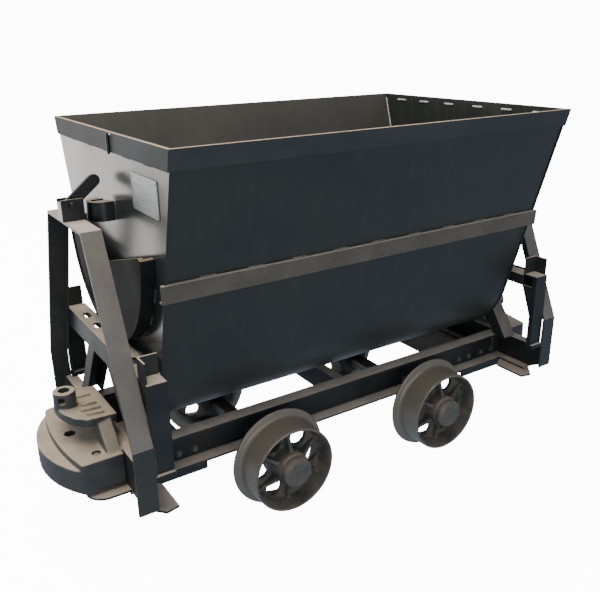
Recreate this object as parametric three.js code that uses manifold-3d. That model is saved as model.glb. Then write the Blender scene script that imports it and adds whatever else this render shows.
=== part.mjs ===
// Bucket-tipping mine cart for 600 mm track: a folded-plate bucket that rocks
// sideways on two half-round rockers, carried by a channel-iron underframe on
// two wheelsets. Millimetres, +Z up, X along the track. The origin is on the
// floor under the wheel flanges, at the middle of the cart.
import * as THREE from "three";
import { mergeVertices } from "three/addons/utils/BufferGeometryUtils.js";
import Module from "manifold-3d";

const wasm = await Module();
wasm.setup();

// ---------------------------------------------------------------------------
// Driving dimensions
// ---------------------------------------------------------------------------
const GAP = 0.3; // air left between pieces that are welded or bolted together
const PLATE = 6; // bucket plate

// Wheels and track
const TRACK_GAUGE = 600;
const FLANGE_PLAY = 8; // from the rail's gauge line to the wheel flange, each side
const TREAD_RADIUS = 150;
const TREAD_WIDTH = 99;
const TREAD_TAPER = 2; // the tread is this much smaller at its outer edge
const FLANGE_HEIGHT = 25;
const FLANGE_THICKNESS = 16;
const FLANGE_ROUND = 6; // worn corner of the flange
const WHEEL_RIM = 8; // thickness of the rim at its outer edge
const WHEEL_RIM_ROOT = 22; // and where it meets the disc
const WHEEL_DISC = 18;
const WHEEL_DISC_SET = 20; // disc's inner side outside the flange's outer face
const WHEEL_DRAFT = 4; // taper of the hub from the mould
const WHEEL_SPOKES = 6;
const WHEEL_RIB = 12;
const WHEEL_RIB_START = 31; // degrees from level to the first rib
const WHEEL_WINDOW_MARGIN = 4; // left between a window and the rim or hub
const HUB_RADIUS = 62;
const HUB_CAP_RADIUS = 53;
const HUB_CAP_ROUND = 9;
const HUB_SINK = 10; // the hub stands this far inside the tread's outer edge
const HUB_CAP_REACH = 24; // the cap stands this far outside the tread
const AXLE_SEAT_END = 20; // metal left over the axle's end in the hub
const AXLE_RADIUS = 30;
const WHEEL_BASE = 672;

// Underframe: channel beams with a channel across each end
const CHANNEL_HEIGHT = 120;
const CHANNEL_FLANGE = 53;
const CHANNEL_WEB = 6;
const CHANNEL_FLANGE_THICKNESS = 8;
const FRAME_LIFT = 38; // from the axle's centre to the channels' underside
const WHEEL_SIDE_PLAY = 46; // from a wheel's back to the long channels
const END_WIDTH = 834; // over the foot plates of the end frames
const END_FLANGE = 40; // flanges of the end channels
const END_SETBACK = 20; // end channel outside the posts
const UNDER_PLATE_INSET = 241; // inner edge of the under plate from the posts' outer side
const UNDER_PLATE_THICKNESS = 8;
const UNDER_PLATE_DEPTH = 24;
const UNDER_PLATE_REACH = 122; // past the end channel, under the bumper
const UNDER_PLATE_CORNER = 60;
const UNDER_PLATE_WIDER = 8; // each side under the bumper
const GUSSET_INSET = 71; // corner gussets' inner edge from the posts' outer side
const GUSSET_START = 30; // their inner end from the long channels
const GUSSET_CHAMFER = 27;
const GUSSET_OUTER = 17; // inside the foot plates' outer faces
const END_CHAMFER = 62; // the end channel's lower corners are cut back by this much
const END_CHAMFER_RISE = 34;
const TIE_FLANGE = 40;

// Bucket
const BUCKET_LENGTH = 1470; // over the rim
const BUCKET_WIDTH = 980; // over the rim
const BUCKET_DEPTH = 920; // outside, bottom to rim
const BUCKET_CLEARANCE = 9; // from the top of the channels to the bucket's bottom
const SIDE_SLOPE = THREE.MathUtils.degToRad(16.2);
const RIM_HEIGHT = 58;
const RIM_BAR = 6;
const END_LIP = 4; // the end walls stand this far outside the side plates
const LEDGE_DROP = 425; // from the rim to the ledge's lower edge
const LEDGE_HEIGHT = 56;
const LEDGE_REACH = 21.5;
const LEDGE_THICKNESS = 6;
const LEDGE_OVERHANG = 6; // past the rim at each end
const LEDGE_LEAN = 4; // upper edge of its face outside the lower one

// Rockers and the rails they roll on
const ROCKER_RADIUS = 325;
const ROCKER_TREAD = 14;
const ROCKER_FACE = 12;
const ROCKER_RECESS = 4; // the face stands this far inside the tread's edge
const ROCKER_WIDTH = 42;
const ROCKER_HORN = 5; // tips of the rocker above its centre
const ROCKER_HORN_WIDTH = 20;
const ROCKER_DIP = 80; // middle of its top edge below its centre
const RAIL_RISE = 292; // rail top above the channels
const RAIL_DEPTH = 64;
const RAIL_INNER_DEPTH = 40;
const RAIL_PLATE = 8;
const RAIL_LIP = 6;
const RAIL_OVERHANG = 6; // rail's inner edge inside the posts
const RAIL_SLOT_PITCH = 110;
const RAIL_SLOT_RADIUS = 11;
const RAIL_SLOT_HALF = 14; // from a slot's middle to the centre of its round end
const ROLL_GAP = 0.5; // under the rocker, where it bears on the rail

// End assembly
const END_CLEARANCE = 20; // from the bucket's rim to the posts
const POST_WIDTH = 60;
const POST_DEPTH = 21;
const POST_PLATE = 7;
const POST_SETBACK = 10; // the post's back from the edge of its base plate
const POST_RISE = 5; // post's top above the rail
const POST_CAP = 67;
const HAUNCH_SHARE = 0.45; // the haunch starts this far up the post
const HAUNCH_MARGIN = 10;
const STOP_HEIGHT = 63;
const STOP_PLATE = 6;
const STOP_INSET = 8;
const BASE_PLATE = 16;
const BRACE_THICKNESS = 50;
const BRACE_PLATE = 8;
const BRACE_TOP_HALF = 62; // inner toe of a brace from the middle, at the rail
const BRACE_FOOT_INSET = 11; // inner toe of a brace inside the long channel's edge
const FRAME_STRAP = 8;
const FRAME_STRAP_WIDTH = 60;
const FRAME_RIB = 25;
const END_FRAME_RISE = 679; // top of the end frame above the channels
const END_FRAME_TOP_HALF = 168;
const END_FRAME_FOOT_RISE = 112; // where its legs meet the foot plates
const FOOT_PLATE_LIFT = 26; // foot plates' lower edge above the channels' underside

// Lock
const CLIP_LENGTH = 66;
const CLIP_WIDTH = 44;
const CLIP_HEIGHT = 63;
const CLIP_PLATE = 6;
const CLIP_OVERHANG = 4; // past the end frame's outer edge
const CLIP_BACK_DROP = 8; // its back is this much lower than its cheeks
const LEVER_WIDTH = 36;
const LEVER_THICKNESS = 12;
const LEVER_REACH = 98;
const LEVER_ANGLE = THREE.MathUtils.degToRad(39); // above level, leaning to the bucket
const LEVER_PIN_RADIUS = 8;
const LEVER_PIN_RISE = 46; // above the end frame's top
const LEVER_PIN_OFFSET = 2; // outside the clip's middle
const LEVER_PIN_PROUD = 6; // past the clip's cheeks
const GUIDE_HALF = 45;
const GUIDE_REACH = 71;
const GUIDE_HEIGHT = 58;
const GUIDE_PLATE = 8;
const GUIDE_TOP_RISE = 48; // guide's top above the end frame's top
const GUIDE_SLOT = 20;

// Bumper
const BUMPER_REACH = 203; // nose past the end channel
const BUMPER_HALF = 210;
const BUMPER_NOSE_SAG = 73;
const NOSE_BOTTOM = 14; // above the channels' underside
const NOSE_HEIGHT = 80;
const DECK_RISE = 20; // deck above the nose's top
const DECK_INSET = 6;
const DECK_BOW = 26; // bulge of the deck's front edge
const DECK_PAD_LENGTH = 90; // pad between the under plate and the casting
const DECK_PAD_HALF = 175;
const SLOT_HEIGHT = 60;
const SLOT_HALF = 110; // coupling slot at the back, on the deck
const JAW_HEIGHT = 27;
const JAW_HALF = 123; // at its widest
const JAW_BACK_HALF = 112;
const JAW_SHORT = 66; // jaw's lip behind the nose
const JAW_SLOPE = 6.5; // degrees that the jaw rises towards its lip
const JAW_CORNER = 77; // length of the jaw's rounded front
const JAW_LEG_LENGTH = 46;
const JAW_LEG_TOP = 42; // thickness of a leg where it joins the jaw
const JAW_LEG_FOOT = 195; // outer foot of a leg from the middle
const BOSS_RADIUS = 35;
const BOSS_HEIGHT = 67;
const COUPLING_PIN_HOLE = 20;
const BOSS_SETBACK = 98; // boss centre behind the nose
const DECK_BOLT_HOLE = 14;
const DECK_BOLT_SETBACK = 34; // bolt holes behind the boss
const DECK_BOLT_OFFSET = 159;

// Nameplate
const NAMEPLATE_LENGTH = 184;
const NAMEPLATE_HEIGHT = 102;
const NAMEPLATE_THICKNESS = 2;
const NAMEPLATE_CORNER = 10;
const NAMEPLATE_OFFSET = 297;
const NAMEPLATE_DROP = 143; // centre below the rim

// Axle boxes
const AXLE_BOX_WIDTH = 120;
const AXLE_BOX_DROP = 52; // below the axle's centre
const AXLE_BOX_CHAMFER = 26;
const BEARING_GAP = 1;

// ---------------------------------------------------------------------------
// Sizes that follow
// ---------------------------------------------------------------------------
const AXLE_HEIGHT = TREAD_RADIUS + FLANGE_HEIGHT;
const FLANGE_FACE = TRACK_GAUGE / 2 - FLANGE_PLAY; // wheel flange's outer face from the middle
const FRAME_WIDTH = 2 * (FLANGE_FACE - FLANGE_THICKNESS - WHEEL_SIDE_PLAY); // over the long channels
const FRAME_BOTTOM = AXLE_HEIGHT + FRAME_LIFT;
const FRAME_TOP = FRAME_BOTTOM + CHANNEL_HEIGHT;
const BUCKET_BOTTOM = FRAME_TOP + BUCKET_CLEARANCE;
const RIM_TOP = BUCKET_BOTTOM + BUCKET_DEPTH;
const RAIL_TOP = FRAME_TOP + RAIL_RISE;
const TIP_HEIGHT = RAIL_TOP + ROLL_GAP + ROCKER_RADIUS;

const RIM_END = BUCKET_LENGTH / 2;
const WALL_END = RIM_END - RIM_BAR; // outer face of the end walls
const POST_INNER = RIM_END + END_CLEARANCE;
const POST_OUTER = POST_INNER + POST_WIDTH;
const RAIL_INNER = POST_INNER - RAIL_OVERHANG;
const FRAME_OUTER = POST_OUTER + GAP + FRAME_STRAP_WIDTH;
const CHANNEL_END = POST_OUTER + END_SETBACK; // outer face of the end channels
const NOSE_END = CHANNEL_END + BUMPER_REACH;

// ---------------------------------------------------------------------------
// Solids
// ---------------------------------------------------------------------------
const solid = (geometry) => {
  geometry.deleteAttribute("normal");
  geometry.deleteAttribute("uv");
  const merged = mergeVertices(geometry, 1e-4);
  return new wasm.Manifold(
    new wasm.Mesh({
      numProp: 3,
      vertProperties: merged.attributes.position.array,
      triVerts: new Uint32Array(merged.index.array),
    }),
  );
};

const geometryOf = (shape) => {
  const { vertProperties, triVerts, numProp } = shape.getMesh();
  const geometry = new THREE.BufferGeometry();
  const position = new THREE.InterleavedBufferAttribute(
    new THREE.InterleavedBuffer(vertProperties, numProp), 3, 0);
  geometry.setAttribute("position", position);
  geometry.setIndex(new THREE.BufferAttribute(triVerts, 1));
  const plain = geometry.toNonIndexed();
  plain.computeVertexNormals();
  return plain;
};

const block = (x0, x1, y0, y1, z0, z1) => {
  const geometry = new THREE.BoxGeometry(Math.abs(x1 - x0), Math.abs(y1 - y0), Math.abs(z1 - z0));
  geometry.translate((x0 + x1) / 2, (y0 + y1) / 2, (z0 + z1) / 2);
  return solid(geometry);
};

const outline = (points) => new THREE.Shape(points.map(([a, b]) => new THREE.Vector2(a, b)));

// An outline pushed along one axis. Its own two axes are (y, z), (x, z) or (x, y).
const ROUND_STEPS = 12;
const prism = (shape, axis, from, to, steps = ROUND_STEPS) => {
  const low = Math.min(from, to);
  const geometry = new THREE.ExtrudeGeometry(shape, {
    depth: Math.abs(to - from), bevelEnabled: false, curveSegments: steps });
  if (axis === "x") {
    geometry.applyMatrix4(new THREE.Matrix4().set(0, 0, 1, low, 1, 0, 0, 0, 0, 1, 0, 0, 0, 0, 0, 1));
  } else if (axis === "y") {
    geometry.applyMatrix4(
      new THREE.Matrix4().set(1, 0, 0, 0, 0, 0, -1, low + Math.abs(to - from), 0, 1, 0, 0, 0, 0, 0, 1));
  } else {
    geometry.translate(0, 0, low);
  }
  return solid(geometry);
};

const bar = (radius, axis, centre, from, to, sides = 20) => {
  const geometry = new THREE.CylinderGeometry(radius, radius, Math.abs(to - from), sides);
  const middle = (from + to) / 2;
  if (axis === "x") {
    geometry.rotateZ(Math.PI / 2);
    geometry.translate(middle, centre[0], centre[1]);
  } else if (axis === "y") {
    geometry.translate(centre[0], middle, centre[1]);
  } else {
    geometry.rotateX(Math.PI / 2);
    geometry.translate(centre[0], centre[1], middle);
  }
  return solid(geometry);
};

const joined = (...shapes) => shapes.reduce((whole, piece) => whole.add(piece));
const cut = (shape, ...tools) => tools.reduce((whole, tool) => whole.subtract(tool), shape);

const paint = (color, roughness, metalness) =>
  new THREE.MeshStandardMaterial({ color, roughness, metalness });
const PAINT = paint(0x34383a, 0.5, 0.2);
const CAST = paint(0x5d564e, 0.6, 0.5);
const WHEEL_CAST = paint(0x55504a, 0.45, 0.6);
const BLACK = paint(0x202327, 0.5, 0.2);
const SILVER = paint(0xc3c7c9, 0.35, 0.9);

const piece = (name, shape, material, parent) => {
  const mesh = new THREE.Mesh(geometryOf(shape), material);
  mesh.name = name;
  parent.add(mesh);
  return mesh;
};

const cart = new THREE.Group();

// ---------------------------------------------------------------------------
// Underframe
// ---------------------------------------------------------------------------
const frameHalf = FRAME_WIDTH / 2;
const flangeEdge = CHANNEL_END - END_FLANGE - GAP; // where the long channels stop
const tongueEnd = CHANNEL_END - CHANNEL_WEB - GAP;

// A channel section, web on the left at 0, flanges reaching to CHANNEL_FLANGE.
const channelOutline = (web, edge, bottom) => {
  const inner = web + Math.sign(edge - web) * CHANNEL_WEB;
  const top = bottom + CHANNEL_HEIGHT;
  const low = bottom + CHANNEL_FLANGE_THICKNESS;
  const high = top - CHANNEL_FLANGE_THICKNESS;
  return outline([[web, bottom], [edge, bottom], [edge, low], [inner, low],
    [inner, high], [edge, high], [edge, top], [web, top]]);
};

const longChannel = (side) => {
  const web = side * (frameHalf - CHANNEL_FLANGE);
  const section = channelOutline(web, side * frameHalf, FRAME_BOTTOM);
  const tongue = block(-tongueEnd, tongueEnd, web, web + side * CHANNEL_WEB,
    FRAME_BOTTOM + CHANNEL_FLANGE_THICKNESS + GAP, FRAME_TOP - CHANNEL_FLANGE_THICKNESS - GAP);
  return joined(prism(section, "x", -flangeEdge, flangeEdge), tongue);
};

for (const [name, side] of [["beam_left", -1], ["beam_right", 1]]) {
  piece(name, longChannel(side), PAINT, cart);
}

const tieHalf = frameHalf - CHANNEL_FLANGE - GAP;
const centreTie = () => {
  const bottom = FRAME_BOTTOM + CHANNEL_FLANGE_THICKNESS;
  const top = FRAME_TOP - CHANNEL_FLANGE_THICKNESS;
  const half = TIE_FLANGE / 2;
  return joined(
    block(-half, half, -tieHalf, tieHalf, top - CHANNEL_WEB, top),
    block(-CHANNEL_WEB / 2, CHANNEL_WEB / 2, -tieHalf, tieHalf, bottom, top - CHANNEL_WEB / 2));
};
piece("centre_tie", centreTie(), PAINT, cart);

const axleBox = (x, side) => {
  const inner = side * (frameHalf - CHANNEL_FLANGE);
  const outer = side * frameHalf;
  const half = AXLE_BOX_WIDTH / 2;
  const foot = AXLE_HEIGHT - AXLE_BOX_DROP;
  const shape = outline([[x - half, FRAME_BOTTOM - GAP], [x - half, AXLE_HEIGHT],
    [x - half + AXLE_BOX_CHAMFER, foot], [x + half - AXLE_BOX_CHAMFER, foot],
    [x + half, AXLE_HEIGHT], [x + half, FRAME_BOTTOM - GAP]]);
  const bore = bar(AXLE_RADIUS + BEARING_GAP, "y", [x, AXLE_HEIGHT], inner - side, outer + side, 24);
  return cut(prism(shape, "y", inner, outer), bore);
};

for (const [row, x] of [["front", -WHEEL_BASE / 2], ["rear", WHEEL_BASE / 2]]) {
  for (const [hand, side] of [["left", -1], ["right", 1]]) {
    piece(`axle_box_${row}_${hand}`, axleBox(x, side), CAST, cart);
  }
}

// ---------------------------------------------------------------------------
// One end of the underframe, drawn for +X. Each end is the same piece turned
// half round, so left and right change over at the front.
// ---------------------------------------------------------------------------
const endHalf = END_WIDTH / 2;
const strapInner = POST_OUTER + GAP;

const endChannel = () => {
  const edge = CHANNEL_END - END_FLANGE;
  const inner = CHANNEL_END - CHANNEL_WEB;
  const low = FRAME_BOTTOM + CHANNEL_FLANGE_THICKNESS;
  const high = FRAME_TOP - CHANNEL_FLANGE_THICKNESS;
  const section = outline([[edge, FRAME_BOTTOM], [CHANNEL_END, FRAME_BOTTOM], [CHANNEL_END, FRAME_TOP],
    [edge, FRAME_TOP], [edge, high], [inner, high], [inner, low], [edge, low]]);
  const half = endHalf - FRAME_STRAP - GAP;
  const corner = (side) => prism(outline([[side * (half - END_CHAMFER), FRAME_BOTTOM - 1],
    [side * (half + 1), FRAME_BOTTOM - 1], [side * (half + 1), FRAME_BOTTOM + END_CHAMFER_RISE]]),
    "x", edge - 1, CHANNEL_END + 1);
  return cut(prism(section, "y", -half, half), corner(1), corner(-1));
};

const bossX = NOSE_END - BOSS_SETBACK;
const pinHole = () => bar(COUPLING_PIN_HOLE, "z", [bossX, 0], 0, RAIL_TOP, 6);

// Under plate: turned down along both sides between the wheels and the end
// channel, with a gusset under each corner and a rounded end under the bumper.
const underPlate = () => {
  const inner = POST_OUTER - UNDER_PLATE_INSET;
  const tip = CHANNEL_END + UNDER_PLATE_REACH;
  const top = FRAME_BOTTOM - GAP;
  const web = top - UNDER_PLATE_THICKNESS;
  const bottom = top - UNDER_PLATE_DEPTH;
  const lip = frameHalf - UNDER_PLATE_THICKNESS;
  const section = outline([[-frameHalf, bottom], [-lip, bottom], [-lip, web], [lip, web],
    [lip, bottom], [frameHalf, bottom], [frameHalf, top], [-frameHalf, top]]);
  const half = frameHalf + UNDER_PLATE_WIDER;
  const end = new THREE.Shape();
  end.moveTo(POST_OUTER, -half);
  end.absarc(tip - UNDER_PLATE_CORNER, -half + UNDER_PLATE_CORNER, UNDER_PLATE_CORNER, -Math.PI / 2, 0, false);
  end.absarc(tip - UNDER_PLATE_CORNER, half - UNDER_PLATE_CORNER, UNDER_PLATE_CORNER, 0, Math.PI / 2, false);
  end.lineTo(POST_OUTER, half);
  const gusset = (side) => prism(outline([
    [POST_OUTER - GUSSET_INSET, side * (frameHalf + GUSSET_START)],
    [POST_OUTER - GUSSET_INSET, side * (endHalf - GUSSET_CHAMFER)],
    [CHANNEL_END - END_FLANGE - UNDER_PLATE_THICKNESS, side * (endHalf - GUSSET_OUTER)],
    [CHANNEL_END, side * (endHalf - FRAME_STRAP - GAP - END_CHAMFER)],
    [CHANNEL_END, side * (frameHalf - 1)], [CHANNEL_END - END_FLANGE, side * (frameHalf - 1)]]),
    "z", web, top);
  return cut(joined(prism(section, "x", inner, CHANNEL_END), prism(end, "z", web, top, 5),
    gusset(1), gusset(-1)), pinHole());
};

// Posts: a shallow channel with a haunch at its top, a base plate and a cap.
const post = (side) => {
  const outer = side * (endHalf - POST_SETBACK);
  const web = outer - side * POST_PLATE;
  const edge = outer - side * POST_DEPTH;
  const bottom = FRAME_TOP + GAP;
  const top = RAIL_TOP + POST_RISE;
  const haunchBottom = bottom + HAUNCH_SHARE * (top - bottom);
  const haunchTop = RAIL_TOP - RAIL_INNER_DEPTH - 2 * GAP;
  const haunchEdge = side * (endHalf - POST_CAP - HAUNCH_MARGIN);
  const haunch = outline([[web, haunchBottom], [edge, haunchBottom], [haunchEdge, haunchTop], [web, haunchTop]]);
  const capEdge = side * (endHalf - POST_CAP);
  const stopBack = capEdge - side * STOP_PLATE;
  return joined(
    block(POST_INNER, POST_OUTER, web, outer, bottom, top),
    block(POST_INNER, POST_INNER + POST_PLATE, edge, web, bottom, top),
    block(POST_OUTER - POST_PLATE, POST_OUTER, edge, web, bottom, top),
    prism(haunch, "x", POST_INNER, POST_INNER + POST_PLATE),
    block(POST_INNER, POST_OUTER, side * endHalf, edge, bottom, bottom + BASE_PLATE),
    block(POST_INNER, POST_OUTER, stopBack, outer, top - POST_PLATE, top),
    block(POST_INNER, POST_OUTER, stopBack, capEdge, top - POST_PLATE, top + STOP_HEIGHT),
    block(POST_OUTER - STOP_PLATE, POST_OUTER, stopBack, outer - side * STOP_INSET, top - POST_PLATE, top + STOP_HEIGHT));
};

// Rocker rail: a plate with both edges turned down and a lip along the outside.
const railHalf = endHalf - POST_CAP - STOP_PLATE - GAP;
const rockerRail = () => {
  const outer = POST_OUTER;
  const section = outline([
    [RAIL_INNER, RAIL_TOP], [RAIL_INNER, RAIL_TOP - RAIL_INNER_DEPTH],
    [RAIL_INNER + RAIL_PLATE, RAIL_TOP - RAIL_INNER_DEPTH], [RAIL_INNER + RAIL_PLATE, RAIL_TOP - RAIL_PLATE],
    [outer - RAIL_PLATE, RAIL_TOP - RAIL_PLATE], [outer - RAIL_PLATE, RAIL_TOP - RAIL_DEPTH],
    [outer, RAIL_TOP - RAIL_DEPTH], [outer, RAIL_TOP + RAIL_LIP],
    [outer - RAIL_LIP, RAIL_TOP + RAIL_LIP], [outer - RAIL_LIP, RAIL_TOP]]);
  const holes = [];
  const middle = (RAIL_INNER + outer - RAIL_LIP) / 2;
  for (let n = -2; n <= 2; n += 1) {
    const y = n * RAIL_SLOT_PITCH;
    const slot = new THREE.Shape();
    slot.absarc(middle, y + RAIL_SLOT_HALF, RAIL_SLOT_RADIUS, 0, Math.PI, false);
    slot.absarc(middle, y - RAIL_SLOT_HALF, RAIL_SLOT_RADIUS, Math.PI, 2 * Math.PI, false);
    holes.push(prism(slot, "z", RAIL_TOP - RAIL_PLATE - 1, RAIL_TOP + 1, 6));
  }
  return cut(prism(section, "y", -railHalf, railHalf), ...holes);
};

// Braces spread from the middle of the rail down to the long channels.
const brace = (side) => {
  const top = RAIL_TOP - RAIL_DEPTH - GAP;
  const bottom = FRAME_TOP + GAP;
  const footInner = frameHalf - BRACE_FOOT_INSET;
  const slope = (footInner - BRACE_TOP_HALF) / (top - bottom);
  const wide = BRACE_THICKNESS * Math.hypot(1, slope);
  const section = (from, to, x0, x1) => prism(outline([
    [side * (BRACE_TOP_HALF + from), top], [side * (BRACE_TOP_HALF + to), top],
    [side * (footInner + to), bottom], [side * (footInner + from), bottom]]), "x", x0, x1);
  return joined(
    section(0, wide, POST_OUTER - BRACE_PLATE, POST_OUTER),
    section(0, wide, POST_INNER, POST_INNER + BRACE_PLATE),
    section(wide - BRACE_PLATE * Math.hypot(1, slope), wide, POST_INNER, POST_OUTER));
};

// End frame: one flat strap bent over the end, ribbed along its inner edge,
// with an upright foot plate closing the end channel on each side.
const frameTop = FRAME_TOP + END_FRAME_RISE;
const frameFoot = FRAME_TOP + END_FRAME_FOOT_RISE;
const endFrame = () => {
  const strap = (thick) => {
    const run = endHalf - END_FRAME_TOP_HALF;
    const drop = frameTop - frameFoot;
    const lean = Math.hypot(run, drop) / drop; // level thickness of a leaning leg
    const corner = END_FRAME_TOP_HALF - thick * (Math.hypot(run, drop) - run) / drop;
    const under = frameTop - thick;
    return outline([[-endHalf, frameFoot], [-END_FRAME_TOP_HALF, frameTop], [END_FRAME_TOP_HALF, frameTop],
      [endHalf, frameFoot], [endHalf - thick * lean, frameFoot], [corner, under],
      [-corner, under], [-(endHalf - thick * lean), frameFoot]]);
  };
  const footBottom = FRAME_BOTTOM + FOOT_PLATE_LIFT;
  const foot = (side) => block(strapInner, FRAME_OUTER, side * endHalf, side * (endHalf - FRAME_STRAP),
    footBottom, frameFoot + 1);
  return joined(
    prism(strap(FRAME_STRAP), "x", strapInner, FRAME_OUTER),
    prism(strap(FRAME_RIB), "x", strapInner, strapInner + FRAME_STRAP),
    foot(1), foot(-1));
};

// Lock clip: a folded plate that carries the lever's pin.
const clipOuter = FRAME_OUTER + CLIP_OVERHANG;
const clipInner = clipOuter - CLIP_LENGTH;
const clipBottom = frameTop + GAP;
const leverPin = [clipInner + CLIP_LENGTH / 2 + LEVER_PIN_OFFSET, frameTop + LEVER_PIN_RISE];
const lockClip = () => {
  const half = CLIP_WIDTH / 2;
  const top = clipBottom + CLIP_HEIGHT;
  const cheek = (side) => block(clipInner, clipOuter, side * half, side * (half - CLIP_PLATE), clipBottom, top);
  const web = block(clipOuter - CLIP_PLATE, clipOuter, -half, half, clipBottom, top - CLIP_BACK_DROP);
  const hole = bar(LEVER_PIN_RADIUS + BEARING_GAP, "y", leverPin, -half - 1, half + 1, 16);
  return cut(joined(cheek(1), cheek(-1), web), hole);
};

// Lever, drawn about its pin.
const lever = () => {
  const half = LEVER_WIDTH / 2;
  const shape = new THREE.Shape();
  shape.absarc(-LEVER_REACH, 0, half, Math.PI / 2, 1.5 * Math.PI, false);
  shape.absarc(0, 0, half, -Math.PI / 2, Math.PI / 2, false);
  const blade = prism(shape, "y", -LEVER_THICKNESS / 2, LEVER_THICKNESS / 2, 10);
  const pinHalf = CLIP_WIDTH / 2 + LEVER_PIN_PROUD;
  return joined(blade, bar(LEVER_PIN_RADIUS, "y", [0, 0], -pinHalf, pinHalf, 16));
};

// Bumper casting: nose, deck and coupling jaw in one. The jaw reaches back over
// the end channel, and a leg on each side runs down from it to the deck.
const bumper = () => {
  const back = CHANNEL_END + GAP;
  const bottom = FRAME_BOTTOM + NOSE_BOTTOM;
  const noseTop = bottom + NOSE_HEIGHT;
  const deck = noseTop + DECK_RISE;
  const jawBottom = deck + SLOT_HEIGHT;
  const jawTop = jawBottom + JAW_HEIGHT;
  const shoulder = NOSE_END - BUMPER_NOSE_SAG;
  const bowed = (half, sag) => {
    const radius = (half ** 2 + sag ** 2) / (2 * sag);
    const reach = Math.asin(half / radius);
    const shape = new THREE.Shape();
    shape.moveTo(back, -half);
    shape.absarc(shoulder + sag - radius, 0, radius, -reach, reach, false);
    shape.lineTo(back, half);
    return shape;
  };
  const lip = NOSE_END - JAW_SHORT;
  const widest = lip - JAW_CORNER;
  const jaw = new THREE.Shape();
  jaw.moveTo(strapInner, -JAW_BACK_HALF);
  jaw.lineTo(widest, -JAW_HALF);
  jaw.absellipse(widest, 0, JAW_CORNER, JAW_HALF, -Math.PI / 2, Math.PI / 2, false, 0);
  jaw.lineTo(strapInner, JAW_BACK_HALF);
  const leg = (side) => prism(outline([
    [side * SLOT_HALF, deck - 1], [side * JAW_LEG_FOOT, deck - 1], [side * JAW_BACK_HALF, jawTop],
    [side * (JAW_BACK_HALF - JAW_LEG_TOP), jawTop], [side * (JAW_BACK_HALF - JAW_LEG_TOP), jawBottom]]),
    "x", back, back + JAW_LEG_LENGTH);
  const plate = prism(jaw, "z", jawBottom, jawTop, 12)
    .translate([-strapInner, 0, -jawTop]).rotate([0, -JAW_SLOPE, 0]).translate([strapInner, 0, jawTop]);
  const pad = block(back, back + DECK_PAD_LENGTH, -DECK_PAD_HALF, DECK_PAD_HALF, FRAME_BOTTOM, bottom + 1);
  const boss = bar(BOSS_RADIUS, "z", [bossX, 0], jawTop - 1, jawTop + BOSS_HEIGHT, 24);
  const boltHole = (side) => bar(DECK_BOLT_HOLE, "z",
    [bossX - DECK_BOLT_SETBACK, side * DECK_BOLT_OFFSET], FRAME_BOTTOM - 1, deck + 1, 16);
  const body = bowed(BUMPER_HALF, BUMPER_NOSE_SAG);
  const deckPlate = bowed(BUMPER_HALF - DECK_INSET, DECK_BOW);
  return cut(joined(
    prism(body, "z", bottom, noseTop, 20), prism(deckPlate, "z", noseTop - 1, deck, 10),
    plate, leg(1), leg(-1), pad, boss),
    pinHole(), boltHole(1), boltHole(-1));
};

const ends = [["front", Math.PI], ["rear", 0]];
for (const [row, turn] of ends) {
  const end = new THREE.Group();
  end.rotation.z = turn;
  cart.add(end);
  const sides = turn ? [["left", 1], ["right", -1]] : [["left", -1], ["right", 1]];
  piece(`end_channel_${row}`, endChannel(), PAINT, end);
  piece(`under_plate_${row}`, underPlate(), PAINT, end);
  piece(`rocker_rail_${row}`, rockerRail(), PAINT, end);
  piece(`end_frame_${row}`, endFrame(), PAINT, end);
  piece(`lock_clip_${row}`, lockClip(), BLACK, end);
  piece(`bumper_${row}`, bumper(), CAST, end);
  for (const [hand, side] of sides) {
    piece(`post_${row}_${hand}`, post(side), PAINT, end);
    piece(`rail_brace_${row}_${hand}`, brace(side), PAINT, end);
  }
  const blade = piece(`lock_lever_${row}`, lever(), BLACK, end);
  blade.position.set(leverPin[0], 0, leverPin[1]);
  blade.rotation.y = LEVER_ANGLE;
}

// ---------------------------------------------------------------------------
// Bucket. Heights in this group are from the tipping axis.
// ---------------------------------------------------------------------------
const bucket = new THREE.Group();
bucket.position.z = TIP_HEIGHT;
cart.add(bucket);

const rimTop = RIM_TOP - TIP_HEIGHT;
const bottomZ = BUCKET_BOTTOM - TIP_HEIGHT;
const slopeCos = Math.cos(SIDE_SLOPE);
const slopeSin = Math.sin(SIDE_SLOPE);
const slopeTan = Math.tan(SIDE_SLOPE);
const sideTop = BUCKET_WIDTH / 2 - RIM_BAR / slopeCos - GAP; // half width of the side plates at the rim
const bottomRadius = (sideTop * slopeCos - BUCKET_DEPTH * slopeSin) / (1 - slopeSin);
const arcCentre = bottomZ + bottomRadius;
// Half width of the sloping side at a height; out is how far it is moved outwards.
const halfAt = (z, out = 0) => sideTop + out / slopeCos - (rimTop - z) * slopeTan;
const ledgeZ = rimTop - LEDGE_DROP;
const seamZ = ledgeZ + LEDGE_HEIGHT / 2;
const innerEnd = WALL_END - PLATE - GAP; // where the long plates stop
const BOTTOM_STEPS = 20;

const bottomArc = (shape, out, turnBack) => {
  const from = Math.PI + SIDE_SLOPE;
  const to = 2 * Math.PI - SIDE_SLOPE;
  if (turnBack) shape.absarc(0, arcCentre, bottomRadius + out, to, from, true);
  else shape.absarc(0, arcCentre, bottomRadius + out, from, to, false);
};

const trough = () => {
  const z = seamZ - GAP;
  const shape = new THREE.Shape();
  shape.moveTo(-halfAt(z), z);
  bottomArc(shape, 0, false);
  shape.lineTo(halfAt(z), z);
  shape.lineTo(halfAt(z, -PLATE), z);
  bottomArc(shape, -PLATE, true);
  shape.lineTo(-halfAt(z, -PLATE), z);
  return prism(shape, "x", -innerEnd, innerEnd, BOTTOM_STEPS);
};

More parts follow.
